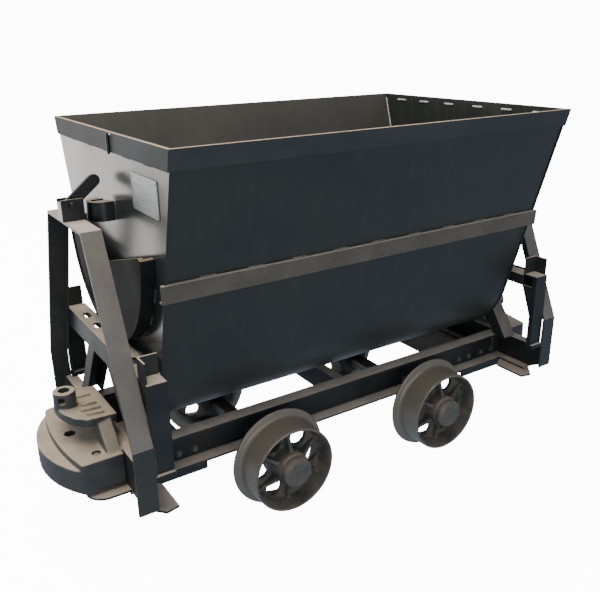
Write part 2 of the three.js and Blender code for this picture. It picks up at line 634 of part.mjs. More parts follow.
const sidePlate = (side) => prism(outline([
  [side * halfAt(seamZ), seamZ], [side * halfAt(rimTop), rimTop],
  [side * halfAt(rimTop, -PLATE), rimTop], [side * halfAt(seamZ, -PLATE), seamZ]]),
  "x", -innerEnd, innerEnd);

const rimBottom = rimTop - RIM_HEIGHT;
const endWall = (end) => {
  const step = rimBottom - GAP;
  const shape = new THREE.Shape();
  shape.moveTo(-halfAt(rimTop), rimTop);
  shape.lineTo(-halfAt(step), step);
  shape.lineTo(-halfAt(step, END_LIP), step);
  bottomArc(shape, END_LIP, false);
  shape.lineTo(halfAt(step, END_LIP), step);
  shape.lineTo(halfAt(step), step);
  shape.lineTo(halfAt(rimTop), rimTop);
  return prism(shape, "x", end * (WALL_END - PLATE), end * WALL_END, BOTTOM_STEPS);
};

const rim = () => {
  const ring = (out, length) => prism(outline([
    [-halfAt(rimBottom - 1, out), rimBottom - 1], [halfAt(rimBottom - 1, out), rimBottom - 1],
    [halfAt(rimTop + 1, out), rimTop + 1], [-halfAt(rimTop + 1, out), rimTop + 1]]), "x", -length, length);
  const wide = BUCKET_WIDTH;
  const band = block(-RIM_END - 1, RIM_END + 1, -wide, wide, rimBottom, rimTop);
  return cut(ring(RIM_BAR + GAP * slopeCos, RIM_END).intersect(band), ring(GAP * slopeCos, WALL_END + GAP));
};

const ledgeAngle = (side) => {
  const reach = halfAt(ledgeZ) + LEDGE_REACH;
  const top = ledgeZ + LEDGE_HEIGHT;
  const t = LEDGE_THICKNESS;
  const section = outline([
    [side * reach, ledgeZ], [side * (reach + LEDGE_LEAN), top - t / 2],
    [side * (halfAt(top) + GAP * 2), top], [side * (halfAt(top - t) + GAP * 2), top - t],
    [side * (reach - t), ledgeZ + t], [side * (halfAt(ledgeZ + t) + GAP * 2), ledgeZ + t],
    [side * (halfAt(ledgeZ) + GAP * 2), ledgeZ]]);
  const length = RIM_END + LEDGE_OVERHANG;
  const notch = (end) => prism(outline([
    [0, ledgeZ - 10], [side * halfAt(ledgeZ - 10, END_LIP + GAP), ledgeZ - 10],
    [side * halfAt(top + 10, END_LIP + GAP), top + 10], [0, top + 10]]),
    "x", end * (WALL_END - PLATE - GAP), end * (WALL_END + GAP));
  // Past the end wall the ledge gives way to the rocker.
  const rockerRoom = (end) =>
    bar(ROCKER_RADIUS + 2 * GAP, "x", [0, 0], end * WALL_END, end * (length + 1), 48);
  return cut(prism(section, "x", -length, length), notch(1), notch(-1), rockerRoom(1), rockerRoom(-1));
};

// Rocker: a half-round tread with a face plate whose top edge is a shallow V,
// open to the end wall and above.
const rocker = (end) => {
  const back = WALL_END + GAP;
  const edge = back + ROCKER_WIDTH;
  const face = edge - ROCKER_RECESS;
  const segment = (radius) => {
    const horn = radius - ROCKER_HORN_WIDTH;
    const shape = new THREE.Shape();
    shape.absarc(0, 0, radius, Math.PI, 2 * Math.PI, false);
    shape.lineTo(horn, ROCKER_HORN);
    shape.lineTo(0, -ROCKER_DIP);
    shape.lineTo(-horn, ROCKER_HORN);
    return shape;
  };
  const drum = prism(segment(ROCKER_RADIUS), "x", end * back, end * edge, 28);
  const inner = segment(ROCKER_RADIUS - ROCKER_TREAD);
  const behind = prism(inner, "x", end * (back - 1), end * (face - ROCKER_FACE), 28);
  const before = prism(inner, "x", end * face, end * (edge + 1), 28);
  const above = block(end * (back - 1), end * (face - ROCKER_FACE),
    -(ROCKER_RADIUS - ROCKER_TREAD), ROCKER_RADIUS - ROCKER_TREAD, -ROCKER_DIP - 1, ROCKER_HORN + 1);
  return cut(drum, behind, before, above);
};

// Lock guide: a round-nosed plate with a turned-down edge and a slot for the lever.
const guideTop = frameTop + GUIDE_TOP_RISE - TIP_HEIGHT;
const lockGuide = (end) => {
  const base = WALL_END + GAP;
  const nose = (out) => {
    const half = GUIDE_HALF - out;
    const shape = new THREE.Shape();
    shape.moveTo(base - out, -half);
    shape.absarc(base + GUIDE_REACH - GUIDE_HALF, 0, half, -Math.PI / 2, Math.PI / 2, false);
    shape.lineTo(base - out, half);
    return shape;
  };
  const bottom = guideTop - GUIDE_HEIGHT;
  const whole = prism(nose(0), "z", bottom, guideTop, 10);
  const hollow = prism(nose(GUIDE_PLATE), "z", bottom - 1, guideTop - GUIDE_PLATE, 10);
  const slot = block(base + GUIDE_PLATE, base + GUIDE_REACH - 2 * GUIDE_PLATE,
    -GUIDE_SLOT / 2, GUIDE_SLOT / 2, guideTop - GUIDE_PLATE - 1, guideTop + 1);
  const guide = cut(whole, hollow, slot);
  return end > 0 ? guide : guide.rotate([0, 0, 180]);
};

const nameplate = () => {
  const centreY = -NAMEPLATE_OFFSET;
  const centreZ = rimTop - NAMEPLATE_DROP;
  const corner = NAMEPLATE_CORNER;
  const a = NAMEPLATE_LENGTH / 2;
  const b = NAMEPLATE_HEIGHT / 2;
  const shape = new THREE.Shape();
  shape.moveTo(centreY - a + corner, centreZ - b);
  shape.absarc(centreY + a - corner, centreZ - b + corner, corner, -Math.PI / 2, 0, false);
  shape.absarc(centreY + a - corner, centreZ + b - corner, corner, 0, Math.PI / 2, false);
  shape.absarc(centreY - a + corner, centreZ + b - corner, corner, Math.PI / 2, Math.PI, false);
  shape.absarc(centreY - a + corner, centreZ - b + corner, corner, Math.PI, 1.5 * Math.PI, false);
  const back = -(WALL_END + GAP);
  return prism(shape, "x", back, back - NAMEPLATE_THICKNESS, 4);
};

piece("bucket_trough", trough(), PAINT, bucket);
piece("bucket_side_left", sidePlate(-1), PAINT, bucket);
piece("bucket_side_right", sidePlate(1), PAINT, bucket);
piece("bucket_rim", rim(), PAINT, bucket);
piece("ledge_angle_left", ledgeAngle(-1), PAINT, bucket);
piece("ledge_angle_right", ledgeAngle(1), PAINT, bucket);
for (const [row, end] of [["front", -1], ["rear", 1]]) {
  piece(`bucket_end_${row}`, endWall(end), PAINT, bucket);
  piece(`rocker_${row}`, rocker(end), PAINT, bucket);
  piece(`lock_guide_${row}`, lockGuide(end), BLACK, bucket);
}
piece("nameplate", nameplate(), SILVER, bucket);

// ---------------------------------------------------------------------------
// Wheelsets. A wheel is drawn about its centre with its flange towards -Y.
// ---------------------------------------------------------------------------
const WHEEL_SIDES = 32;

const wheel = () => {
  const flangeRadius = TREAD_RADIUS + FLANGE_HEIGHT;
  const discLow = WHEEL_DISC_SET;
  const discHigh = discLow + WHEEL_DISC;
  const rimEdge = TREAD_RADIUS - TREAD_TAPER - WHEEL_RIM;
  const rimRoot = TREAD_RADIUS - WHEEL_RIM_ROOT;
  const hubEnd = TREAD_WIDTH - HUB_SINK;
  const capEnd = TREAD_WIDTH + HUB_CAP_REACH;
  const points = [
    [0, -FLANGE_THICKNESS], [HUB_RADIUS, -FLANGE_THICKNESS], [HUB_RADIUS, discLow],
    [rimRoot, discLow], [rimRoot, -FLANGE_THICKNESS], [flangeRadius - FLANGE_ROUND, -FLANGE_THICKNESS],
    [flangeRadius, FLANGE_ROUND - FLANGE_THICKNESS], [flangeRadius - FLANGE_ROUND / 2, -FLANGE_ROUND / 2],
    [TREAD_RADIUS + FLANGE_ROUND / 2, 0], [TREAD_RADIUS, FLANGE_ROUND],
    [TREAD_RADIUS - TREAD_TAPER, TREAD_WIDTH], [rimEdge, TREAD_WIDTH], [rimRoot, discHigh],
    [HUB_RADIUS, discHigh], [HUB_RADIUS - WHEEL_DRAFT, hubEnd], [HUB_CAP_RADIUS, hubEnd],
    [HUB_CAP_RADIUS, capEnd - HUB_CAP_ROUND], [HUB_CAP_RADIUS - HUB_CAP_ROUND / 2, capEnd - HUB_CAP_ROUND / 3],
    [HUB_CAP_RADIUS - HUB_CAP_ROUND, capEnd], [0, capEnd]];
  const body = solid(new THREE.LatheGeometry(points.map(([r, y]) => new THREE.Vector2(r, y)), WHEEL_SIDES));
  const windowRadius = (rimRoot - HUB_RADIUS) / 2 - WHEEL_WINDOW_MARGIN;
  const windowAt = (rimRoot + HUB_RADIUS) / 2;
  const ribRoot = HUB_RADIUS - 2 * WHEEL_DRAFT;
  const ribTip = rimEdge + 1;
  const ribLow = discHigh - 1;
  const rib = prism(outline([[ribRoot, ribLow], [rimRoot + 1, ribLow], [ribTip, TREAD_WIDTH - 2 * WHEEL_DISC],
    [rimRoot, discHigh + WHEEL_RIB], [ribRoot, hubEnd - WHEEL_RIB]]), "z", -WHEEL_RIB / 2, WHEEL_RIB / 2);
  const hole = bar(windowRadius, "y", [windowAt, 0], discLow - 1, discHigh + 1, 12);
  const pitch = 360 / WHEEL_SPOKES;
  let turned = body;
  for (let n = 0; n < WHEEL_SPOKES; n += 1) {
    const angle = WHEEL_RIB_START + n * pitch;
    turned = turned.subtract(hole.rotate([0, -angle - pitch / 2, 0])).add(rib.rotate([0, -angle, 0]));
  }
  const seat = bar(AXLE_RADIUS + GAP, "y", [0, 0], -FLANGE_THICKNESS - 1, hubEnd - AXLE_SEAT_END, 24);
  return turned.subtract(seat);
};

const axle = () => {
  const half = FLANGE_FACE + TREAD_WIDTH - HUB_SINK - AXLE_SEAT_END - GAP;
  return bar(AXLE_RADIUS, "y", [0, 0], -half, half, 24);
};

for (const [row, x] of [["front", -WHEEL_BASE / 2], ["rear", WHEEL_BASE / 2]]) {
  const wheelset = new THREE.Group();
  wheelset.position.set(x, 0, AXLE_HEIGHT);
  cart.add(wheelset);
  piece(`axle_${row}`, axle(), CAST, wheelset);
  for (const [hand, turn] of [["left", Math.PI], ["right", 0]]) {
    const mesh = piece(`wheel_${row}_${hand}`, wheel(), WHEEL_CAST, wheelset);
    mesh.rotation.z = turn;
    mesh.position.y = turn ? -FLANGE_FACE : FLANGE_FACE;
  }
}

export default cart;
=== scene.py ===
import math
import random

import bmesh
import bpy
from mathutils import Matrix, Quaternion, Vector


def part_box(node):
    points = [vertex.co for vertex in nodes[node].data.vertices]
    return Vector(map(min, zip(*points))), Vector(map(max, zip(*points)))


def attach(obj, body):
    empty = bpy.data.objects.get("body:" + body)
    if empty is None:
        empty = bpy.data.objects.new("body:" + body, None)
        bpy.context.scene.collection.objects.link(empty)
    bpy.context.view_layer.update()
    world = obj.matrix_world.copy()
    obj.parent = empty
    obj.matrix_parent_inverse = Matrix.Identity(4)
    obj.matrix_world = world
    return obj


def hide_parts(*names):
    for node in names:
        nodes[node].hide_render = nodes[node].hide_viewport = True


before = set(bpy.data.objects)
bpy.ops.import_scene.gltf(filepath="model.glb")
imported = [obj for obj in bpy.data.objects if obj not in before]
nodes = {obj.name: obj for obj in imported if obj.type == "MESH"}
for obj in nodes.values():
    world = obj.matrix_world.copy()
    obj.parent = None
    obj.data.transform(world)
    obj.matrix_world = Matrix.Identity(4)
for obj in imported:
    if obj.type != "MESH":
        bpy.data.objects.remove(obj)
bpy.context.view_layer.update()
ENDS = (("front", -1), ("rear", 1))
HANDS = (("left", -1), ("right", 1))

# ---------------------------------------------------------------------------
# Bucket: 6 mm steel plate, bent to a round bottom and welded up. It is brush
# painted in a dark tar paint, and what faces up holds pale dust.
# ---------------------------------------------------------------------------
MM = 0.001
GRAIN_DEPTH = 0.4 * MM
DUST_ROUGHNESS = 0.92
RUN_MARK = "#8f8a80"
RUN_MM = 24
RUN_STRETCH = 0.07
EDGE_ANGLE = math.radians(35)


def linear(colour):
    """An sRGB hex colour as linear red, green, blue and alpha."""
    channels = [int(colour[k:k + 2], 16) / 255 for k in (1, 3, 5)]
    return [c / 12.92 if c <= 0.04045 else ((c + 0.055) / 1.055) ** 2.4
            for c in channels] + [1.0]


def blank(name):
    """A new material with no nodes in it."""
    material = bpy.data.materials.new(name)
    material.use_nodes = True
    material.node_tree.nodes.clear()
    return material


def add(material, kind, inputs, **settings):
    """Adds one shader node. An input is a constant, or another node's output to link."""
    node = material.node_tree.nodes.new("ShaderNode" + kind)
    for name, value in settings.items():
        setattr(node, name, value)
    for key, value in inputs.items():
        if isinstance(value, bpy.types.NodeSocket):
            material.node_tree.links.new(value, node.inputs[key])
        else:
            node.inputs[key].default_value = value
    return node


def noise(material, where, size_mm, detail, roughness=0.5):
    """Soft random patches of about this size."""
    return add(material, "TexNoise", {
        "Vector": where, "Scale": 1 / (size_mm * MM), "Detail": detail,
        "Roughness": roughness}).outputs["Fac"]


def ranged(material, value, low, high, to_low, to_high, **settings):
    """A value stretched from one range to another."""
    return add(material, "MapRange", {0: value, 1: low, 2: high, 3: to_low, 4: to_high},
               **settings).outputs[0]


def mixed(material, share, first, second, **settings):
    """Two colours mixed, with the share that the second has."""
    return add(material, "Mix", {0: share, 6: first, 7: second},
               data_type="RGBA", **settings).outputs[2]


def times(material, first, second):
    """The product of two values."""
    return add(material, "Math", {0: first, 1: second}, operation="MULTIPLY").outputs[0]


def surfaced(material, inputs):
    """Ends a material in one principled surface."""
    surface = add(material, "BsdfPrincipled", inputs)
    add(material, "OutputMaterial", {"Surface": surface.outputs[0]})


def weathered(name, coat, patch, dust, roughness, patch_mm=220, grain_mm=5, bump=0.25,
              dust_from=0.35, dust_to=0.95, dust_share=0.9, specular=0.3, metallic=0.0,
              streaks=0.0):
    """A coated steel: broad patches of two tones, fine grain, and dust on what faces up."""
    material = blank(name)
    place = add(material, "TexCoord", {})
    where = place.outputs["Object"]
    blotch = noise(material, where, patch_mm, 5.0, 0.62)
    grain = noise(material, where, grain_mm, 4.0, 0.6)
    share = ranged(material, blotch, 0.38, 0.66, 0.0, 1.0)
    tone = mixed(material, share, linear(coat), linear(patch))
    fleck = ranged(material, grain, 0.3, 0.7, 0.86, 1.12)
    colour = mixed(material, 1.0, tone, fleck, blend_type="MULTIPLY")
    if streaks:
        # Runs are stretched down the plate.
        flow = add(material, "Mapping", {0: where, 3: (1, 1, RUN_STRETCH)})
        runs = noise(material, flow.outputs[0], RUN_MM, 3.0)
        strength = ranged(material, runs, 0.5, 0.78, 0.0, streaks)
        colour = mixed(material, strength, colour, linear(RUN_MARK))
    # Dust lies by how far a face looks up, and thinly in patches and specks.
    facing = add(material, "SeparateXYZ", {0: place.outputs["Normal"]})
    level = ranged(material, facing.outputs[2], dust_from, dust_to, 0.0, dust_share,
                   interpolation_type="SMOOTHSTEP")
    thin = ranged(material, blotch, 0.3, 0.62, 0.72, 1.0)
    speck = ranged(material, grain, 0.3, 0.6, 0.8, 1.0)
    layer = times(material, times(material, level, thin), speck)
    dusted = mixed(material, layer, colour, linear(dust))
    rough = ranged(material, layer, 0.0, 1.0, roughness, DUST_ROUGHNESS)
    varied = ranged(material, blotch, 0.3, 0.7, -0.06, 0.08)
    gloss = add(material, "Math", {0: rough, 1: varied}, operation="ADD", use_clamp=True)
    relief = add(material, "Bump", {"Strength": bump, "Distance": GRAIN_DEPTH, "Height": grain})
    surfaced(material, {
        "Base Color": dusted, "Roughness": gloss.outputs[0], "Metallic": metallic,
        "Specular IOR Level": specular, "Normal": relief.outputs[0]})
    return material


def smoothed(data, sharp=None):
    """Shades a mesh smooth, but for edges that turn by more than this many degrees."""
    data.polygons.foreach_set("use_smooth", [True] * len(data.polygons))
    if sharp:
        data.set_sharp_from_angle(angle=math.radians(sharp))


def finish_node(name, material, edge_mm=0.9):
    """Paints a CAD node and eases its cut edges, leaving its own mesh as it is."""
    piece = nodes[name]
    custom = piece.data.attributes.get("custom_normal")
    if custom:
        piece.data.attributes.remove(custom)
    smoothed(piece.data)
    piece.data.materials.clear()
    piece.data.materials.append(material)
    weld = piece.modifiers.new("merge", "WELD")
    weld.merge_threshold = 0.01 * MM
    flat = piece.modifiers.new("flatten", "DECIMATE")
    flat.decimate_type = "DISSOLVE"
    flat.angle_limit = math.radians(1)
    ease = piece.modifiers.new("ease", "BEVEL")
    ease.width = edge_mm * MM
    ease.segments = 2
    ease.limit_method = "ANGLE"
    ease.angle_limit = EDGE_ANGLE
    ease.use_clamp_overlap = True
    shade = piece.modifiers.new("shade", "WEIGHTED_NORMAL")
    shade.weight = 60


# Tar paint on the sides: near-black with a soft sheen, in broad brushed patches.
plate_paint = weathered(
    "brushed_tar_paint_on_plate", "#252927", "#30312b", "#857b70", 0.44, bump=0.12,
    patch_mm=420, grain_mm=7, dust_from=0.0, dust_to=0.9, dust_share=0.8, specular=0.42,
    streaks=0.03)
# The same paint where it is glossier: dark, but it mirrors what is bright beside it. Its coat
# is a shade lighter than the sides', as painted light on the lit end plate.
end_paint_with_painted_light = weathered(
    "brushed_tar_paint_painted_lighter_on_end_plate", "#2a2e2e", "#363733", "#857b70", 0.22, bump=0.03,
    patch_mm=260, grain_mm=6, dust_from=0.12, dust_to=0.98, streaks=0.05)
for side, _ in HANDS:
    finish_node("bucket_side_" + side, plate_paint)
finish_node("bucket_trough", plate_paint)
for row, _ in ENDS:
    finish_node("bucket_end_" + row, end_paint_with_painted_light, edge_mm=1.2)

# ---------------------------------------------------------------------------
# Rim and ledges: flat bar welded round the top edge, and bent angles welded
# under the sides. Both are painted steel, and dust lies on their upper edges.
# ---------------------------------------------------------------------------
# Matt paint with a warm, pale line of dust along the rim's top.
rim_paint = weathered(
    "worn_tar_paint_on_bar", "#363b3d", "#434441", "#cdb69c", 0.7, bump=0.12,
    patch_mm=300, dust_from=0.3, dust_to=0.8, dust_share=1.0, specular=0.25)
# Dust rubbed into paint: a flat brownish grey that stands out from the plate.
ledge_paint = weathered(
    "dusty_paint_on_angle", "#565148", "#645d53", "#a89c8c", 0.72,
    patch_mm=120, dust_from=0.2, dust_to=0.9)
finish_node("bucket_rim", rim_paint, edge_mm=1.6)
for side, _ in HANDS:
    finish_node("ledge_angle_" + side, ledge_paint, edge_mm=1.4)

# ---------------------------------------------------------------------------
# Rockers: a half-round tread with a face plate, welded to each end plate. They
# are painted black, darkened further with painted shade for the shadow the end frame casts on
# them, and rest on the rails of the underframe.
# ---------------------------------------------------------------------------
# Dead matt black with a coarse skin: partly black paint and partly painted shade for the end
# frame's shadow over the rocker.
rocker_black_and_painted_shade = weathered(
    "black_paint_with_painted_shade_on_rocker", "#121516", "#201f1b", "#8f8475", 0.75,
    patch_mm=90, grain_mm=4, bump=0.5, dust_from=0.5, dust_to=0.98, dust_share=0.7,
    specular=0.15)
for row, _ in ENDS:
    finish_node("rocker_" + row, rocker_black_and_painted_shade, edge_mm=1.8)

# ---------------------------------------------------------------------------
# Lock: a guide on the bucket, a clip on the end frame, and the lever that turns
# in the clip. All are cut from plate and dipped in enamel.
# ---------------------------------------------------------------------------
# Gloss black enamel: black, with small sharp highlights on its edges.
enamel = weathered(
    "dipped_black_enamel", "#0b0d10", "#15181b", "#a3978a", 0.32,
    patch_mm=45, grain_mm=3, bump=0.3, dust_from=0.7, dust_to=1.0, dust_share=0.75,
    specular=0.5)
for row, _ in ENDS:
    finish_node("lock_guide_" + row, enamel, edge_mm=1.2)
    finish_node("lock_clip_" + row, enamel, edge_mm=1.0)
    finish_node("lock_lever_" + row, enamel, edge_mm=1.6)

# ---------------------------------------------------------------------------
# Nameplate: a blank pressed aluminium plate with a raised border, held to the
# front end plate by four round-head rivets.
# ---------------------------------------------------------------------------
RIVET_INSET = 10 * MM
RIVET_RADIUS, RIVET_HEIGHT = 3.2 * MM, 2.2 * MM
BORDER, BORDER_INSET = 4 * MM, 3 * MM
BORDER_PROUD, BORDER_SUNK = 0.7 * MM, 0.5 * MM
SHARP = 38


def meshed(name, mesh):
    """A mesh made from a bmesh, with its faces turned outwards."""
    bmesh.ops.recalc_face_normals(mesh, faces=mesh.faces)
    data = bpy.data.meshes.new(name)
    mesh.to_mesh(data)
    mesh.free()
    return data


def placed(name, data):
    """A new object in the scene."""
    thing = bpy.data.objects.new(name, data)
    bpy.context.scene.collection.objects.link(thing)
    return thing


def new_piece(name, mesh, material, body):
    """Makes one shown piece from a bmesh, and rides it on its body."""
    data = meshed(name, mesh)
    smoothed(data, SHARP)
    data.materials.append(material)
    piece = placed(name, data)
    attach(piece, body)


def turned_stud(mesh, centre, axis, rings, roll=0.0):
    """Adds a bolt, rivet or bar. Rings are (sides, radius, height) up the axis.

    Where the number of sides changes, one part ends and the next begins.
    """
    upright = Vector(axis).normalized().to_track_quat("Z", "Y")
    previous, started = None, None
    for sides, radius, height in rings:
        turns = [math.tau * k / sides + roll for k in range(sides)]
        ring = [mesh.verts.new(Vector(centre) + upright @ Vector((
            radius * math.cos(a), radius * math.sin(a), height))) for a in turns]
        if started != sides:
            if previous:
                mesh.faces.new(previous)
            mesh.faces.new(ring[::-1])
        else:
            for k in range(sides):
                n = (k + 1) % sides
                mesh.faces.new((previous[k], previous[n], ring[n], ring[k]))
        previous, started = ring, sides
    mesh.faces.new(previous)


def rivet(radius, height):
    """Rings of a round-head rivet."""
    return [(16, radius * math.cos(a), height * math.sin(a)) for a in (0, 0.3, 0.62, 0.95, 1.3)]


def block(mesh, low, high):
    """Adds a plain solid block, a part of a larger piece."""
    corners = [mesh.verts.new((x, y, z)) for x in (low[0], high[0])
               for y in (low[1], high[1]) for z in (low[2], high[2])]
    for quad in ((0, 1, 3, 2), (4, 6, 7, 5), (0, 4, 5, 1),
                 (2, 3, 7, 6), (0, 2, 6, 4), (1, 5, 7, 3)):
        mesh.faces.new([corners[k] for k in quad])


# Brushed aluminium: pale metal whose fine lines spread the light along the plate.
brushed = blank("brushed_aluminium_plate")
place = add(brushed, "TexCoord", {})
along = add(brushed, "Mapping", {0: place.outputs["Object"], 3: (1, 0.04, 1)})
# Brush lines are about 0.3 mm apart; they are drawn at 1.5 mm so that they show.
lines = noise(brushed, along.outputs[0], 1.5, 3.0)
tone = ranged(brushed, lines, 0.3, 0.7, 0.0, 1.0)
surfaced(brushed, {
    "Base Color": mixed(brushed, tone, linear("#6f7375"), linear("#a7aaaa")), "Metallic": 0.85,
    "Roughness": ranged(brushed, lines, 0.2, 0.8, 0.34, 0.55)})
finish_node("nameplate", brushed, edge_mm=0.5)
low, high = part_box("nameplate")
trim = bmesh.new()
for y in (low.y + RIVET_INSET, high.y - RIVET_INSET):
    for z in (low.z + RIVET_INSET, high.z - RIVET_INSET):
        turned_stud(trim, (low.x, y, z), (-1, 0, 0), rivet(RIVET_RADIUS, RIVET_HEIGHT))
left, right = low.y + BORDER_INSET, high.y - BORDER_INSET
bottom, top = low.z + BORDER_INSET, high.z - BORDER_INSET
for y0, y1, z0, z1 in (
        (left, right, top - BORDER, top),
        (left, right, bottom, bottom + BORDER),
        (left, left + BORDER, bottom + BORDER, top - BORDER),
        (right - BORDER, right, bottom + BORDER, top - BORDER)):
    block(trim, (low.x - BORDER_PROUD, y0, z0), (low.x + BORDER_SUNK, y1, z1))
new_piece("nameplate_rivets", trim, brushed, "bucket")

# ---------------------------------------------------------------------------
# Underframe: rolled channels, folded plate and bent straps, welded together and
# painted in dark primer.
# ---------------------------------------------------------------------------
# Primer on rolled steel: webs stay nearly black, and tops are pale tan with dust.
frame_paint = weathered(
    "dark_primer_on_rolled_steel", "#1f2427", "#302f2b", "#b5a99b", 0.5,
    patch_mm=130, grain_mm=4, bump=0.35, dust_from=0.3, dust_share=1.0, dust_to=0.9)
# Primer on the end frames' straps: smoother, so it shines where it leans, and a greyer coat
# than the frame's as painted light on the lit straps.
strap_primer_with_painted_light = weathered(
    "grey_primer_painted_lighter_on_strap", "#2d3131", "#3b3c37", "#a9a096", 0.45,
    patch_mm=150, grain_mm=4, bump=0.12, dust_from=0.1, dust_to=0.85, dust_share=0.95,
    specular=0.4)
for side, _ in HANDS:
    finish_node("beam_" + side, frame_paint, edge_mm=1.6)
finish_node("centre_tie", frame_paint, edge_mm=1.2)
for row, _ in ENDS:
    for name in ("end_channel_", "under_plate_", "rocker_rail_"):
        finish_node(name + row, frame_paint, edge_mm=1.4)
    finish_node("end_frame_" + row, strap_primer_with_painted_light, edge_mm=1.4)
    for side, _ in HANDS:
        finish_node("post_" + row + "_" + side, frame_paint, edge_mm=1.4)
        finish_node("rail_brace_" + row + "_" + side, frame_paint, edge_mm=1.2)

# ---------------------------------------------------------------------------
# Bumpers: one sand-cast iron piece each, nose, deck, coupling jaw and pin boss
# together, primed after casting and welded to the end channel by its deck.
# ---------------------------------------------------------------------------
# Primed cast iron: soft corners and a pebbled skin, with tan dust on the top.
cast_skin = weathered(
    "sand_cast_iron_primed", "#343838", "#494641", "#ab9f8d", 0.46,
    patch_mm=70, grain_mm=3.5, bump=0.7, dust_from=0.3, dust_share=0.95, specular=0.5)
CAST_VOXEL, CAST_SHARP = 3.2 * MM, 40
SINK = 2 * MM  # how far one solid of a casting reaches into the next
CHANNEL_FACE, STRAP_FACE = 835.3 * MM, 815.3 * MM
NOSE_LOW, NOSE_HIGH, DECK = 227 * MM, 307 * MM, 327 * MM
NOSE_HALF, DECK_HALF = 210 * MM, 209.5 * MM
NOSE_SAG, DECK_SAG = 73 * MM, 26 * MM
SHOULDER = 965 * MM
FOOT_DEPTH, FOOT_HALF, FOOT_LOW = 90 * MM, 175 * MM, 213 * MM
LEG_OUT, LEG_TOP, LEG_BACK, LEG_END = 195 * MM, 112 * MM, 70 * MM, 881 * MM
LEG_FOOT = 110 * MM
JAW_LOW, JAW_HIGH = 387 * MM, 414 * MM
JAW_HALF, JAW_RISE = 112 * MM, math.radians(6.5)
LIP_X, LIP_REACH, LIP_HALF = 895 * MM, 77 * MM, 123 * MM
LIP_STEPS = 24
RIB_END = 850 * MM
# Each rib: its y at the lip, its y at the back, and where it starts, all in mm.
JAW_RIBS = ((97, 93, 905), (66, 57, 914), (30, 20, 900), (-36, -44, 898))
RIB_SECTION = ((-7 * MM, -3 * MM), (7 * MM, -3 * MM), (4 * MM, 9 * MM), (-4 * MM, 9 * MM))
BOSS_X, BOSS_R, BOSS_TOP = 940 * MM, 35 * MM, 481 * MM
PIN_R, PIN_SIDES = 20 * MM, 6
BOLT_X, BOLT_Y, BOLT_R = 906 * MM, 159 * MM, 14 * MM
HOLE_LOW, PIN_TOP, BOLT_TOP = 200 * MM, 500 * MM, 340 * MM
WINDOW_TURN, WINDOW_HALF = math.radians(60), 10 * MM
WINDOW_NEAR, WINDOW_FAR = 14 * MM, 44 * MM
WINDOW_LOW, WINDOW_HIGH = 447 * MM, 469 * MM


def skinned(mesh, rings):
    """Closes a row of rings into one solid: its sides first, and then a cap at each end."""
    for a, b in zip(rings, rings[1:]):
        for k in range(len(a)):
            n = (k + 1) % len(a)
            mesh.faces.new((a[k], a[n], b[n], b[k]))
    mesh.faces.new(rings[0][::-1])
    mesh.faces.new(rings[-1])


def prism(mesh, outline, axis, low, high):
    """Adds a closed prism. Its outline is (x, y) along z, (y, z) along x, or (x, z) along y."""
    order = {"z": lambda a, b, h: (a, b, h), "x": lambda a, b, h: (h, a, b),
             "y": lambda a, b, h: (a, h, b)}[axis]
    skinned(mesh, [[mesh.verts.new(order(a, b, h)) for a, b in outline] for h in (low, high)])


def disc(radius, sides, x=0.0, y=0.0):
    """Points round a circle."""
    turns = [math.tau * k / sides for k in range(sides)]
    return [(x + radius * math.cos(a), y + radius * math.sin(a)) for a in turns]


def eased(points, radii, steps=5, closed=True):
    """An outline with its corners rounded."""
    rounded = []
    for k, (point, radius) in enumerate(zip(points, radii)):
        here = Vector(point)
        if not radius or (not closed and k in (0, len(points) - 1)):
            rounded.append(tuple(here))
            continue
        before, after = Vector(points[k - 1]), Vector(points[(k + 1) % len(points)])
        start = here + (before - here).normalized() * radius
        end = here + (after - here).normalized() * radius
        for n in range(steps + 1):
            t = n / steps
            rounded.append(tuple(start * (1 - t) ** 2 + here * 2 * t * (1 - t) + end * t * t))
    return rounded


def loose(name, mesh):
    """A helper object that is used to make a piece and then removed."""
    return placed(name, meshed(name, mesh))


def cast(helper, voxel, smoothing):
    """Adds the modifiers that melt a helper's solids into one casting with soft corners."""
    melt = helper.modifiers.new("melt", "REMESH")
    melt.mode = "VOXEL"
    melt.voxel_size = voxel
    soft = helper.modifiers.new("soften", "SMOOTH")
    soft.factor = 0.5
    soft.iterations = smoothing


def carve(helper, tool, operation="DIFFERENCE"):
    """Adds a cut or a join by a tool's shape."""
    change = helper.modifiers.new("carve", "BOOLEAN")
    change.operation = operation
    change.solver = "EXACT"
    change.object = tool


def settled(helper, *tools):
    """The helper's mesh with its modifiers applied. The helper and its tools are removed."""
    bpy.context.view_layer.update()
    graph = bpy.context.evaluated_depsgraph_get()
    data = bpy.data.meshes.new_from_object(helper.evaluated_get(graph))
    for used in (helper, *tools):
        bpy.data.objects.remove(used)
    return data


def bowed(half, sag, corner_left, corner_right):
    """Outline of a plate whose front edge bulges by sag between its shoulders."""
    radius = (half ** 2 + sag ** 2) / (2 * sag)
    reach = math.asin(half / radius)
    centre = SHOULDER + sag - radius
    front = [(centre + radius * math.cos(a), radius * math.sin(a))
             for a in (-reach + 2 * reach * k / 20 for k in range(21))]
    points = [(CHANNEL_FACE, -half)] + front + [(CHANNEL_FACE, half)]
    radii = [0.0, corner_left] + [0.0] * 19 + [corner_right, 0.0]
    # A rounded corner passes the first points of the arc, so those give way.
    keep = [k for k, (_, y) in enumerate(points) if k in (0, 1, 21, 22)
            or -half + corner_left * 0.95 < y < half - corner_right * 0.95]
    return eased([points[k] for k in keep], [radii[k] for k in keep], steps=8)


def on_jaw(x, z):
    """Where a point of the jaw goes as the jaw rises towards its lip."""
    out, up = x - STRAP_FACE, z - JAW_HIGH
    return (STRAP_FACE + out * math.cos(JAW_RISE) - up * math.sin(JAW_RISE),
            JAW_HIGH + out * math.sin(JAW_RISE) + up * math.cos(JAW_RISE))


